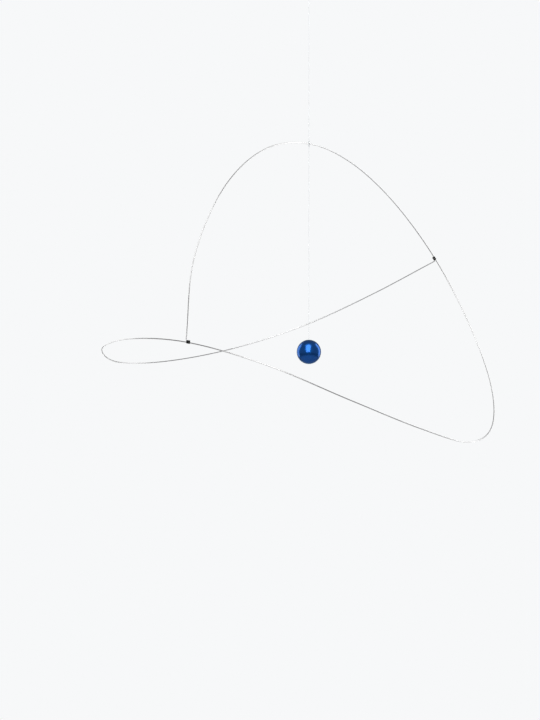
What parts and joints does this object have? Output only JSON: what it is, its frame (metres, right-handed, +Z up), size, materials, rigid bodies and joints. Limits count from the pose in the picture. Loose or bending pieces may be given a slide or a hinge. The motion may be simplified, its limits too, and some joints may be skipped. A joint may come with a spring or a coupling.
{
  "type": "hanging mobile sculpture",
  "caption": "Hanging mobile: a springy steel wire looped and hooked onto itself in mid-air, with a glossy blue ball on a thread in the middle.",
  "frame": {"origin": "inside top of the hanging loop, where the mobile is held", "axes": "+Z up along the hanging thread, +X to the right and +Y away from a viewer in front"},
  "size_m": [0.4931, 0.4386, 0.5576],
  "materials": {
    "spring_wire": "bright drawn spring-steel wire",
    "sleeve_rubber": "black silicone-rubber tube, satin",
    "thread": "fine clear nylon thread",
    "ball_gloss": "deep blue metallic gloss"
  },
  "bodies": {
    "root": {"wire": "spring_wire", "left_sleeve_1": "sleeve_rubber", "left_sleeve_2": "sleeve_rubber", "right_sleeve_1": "sleeve_rubber", "right_sleeve_2": "sleeve_rubber", "arch_knot": "thread", "ball_thread": "thread", "hanging_thread": "thread", "hanging_loop": "thread", "ball": "ball_gloss"}
  },
  "joints": []
}
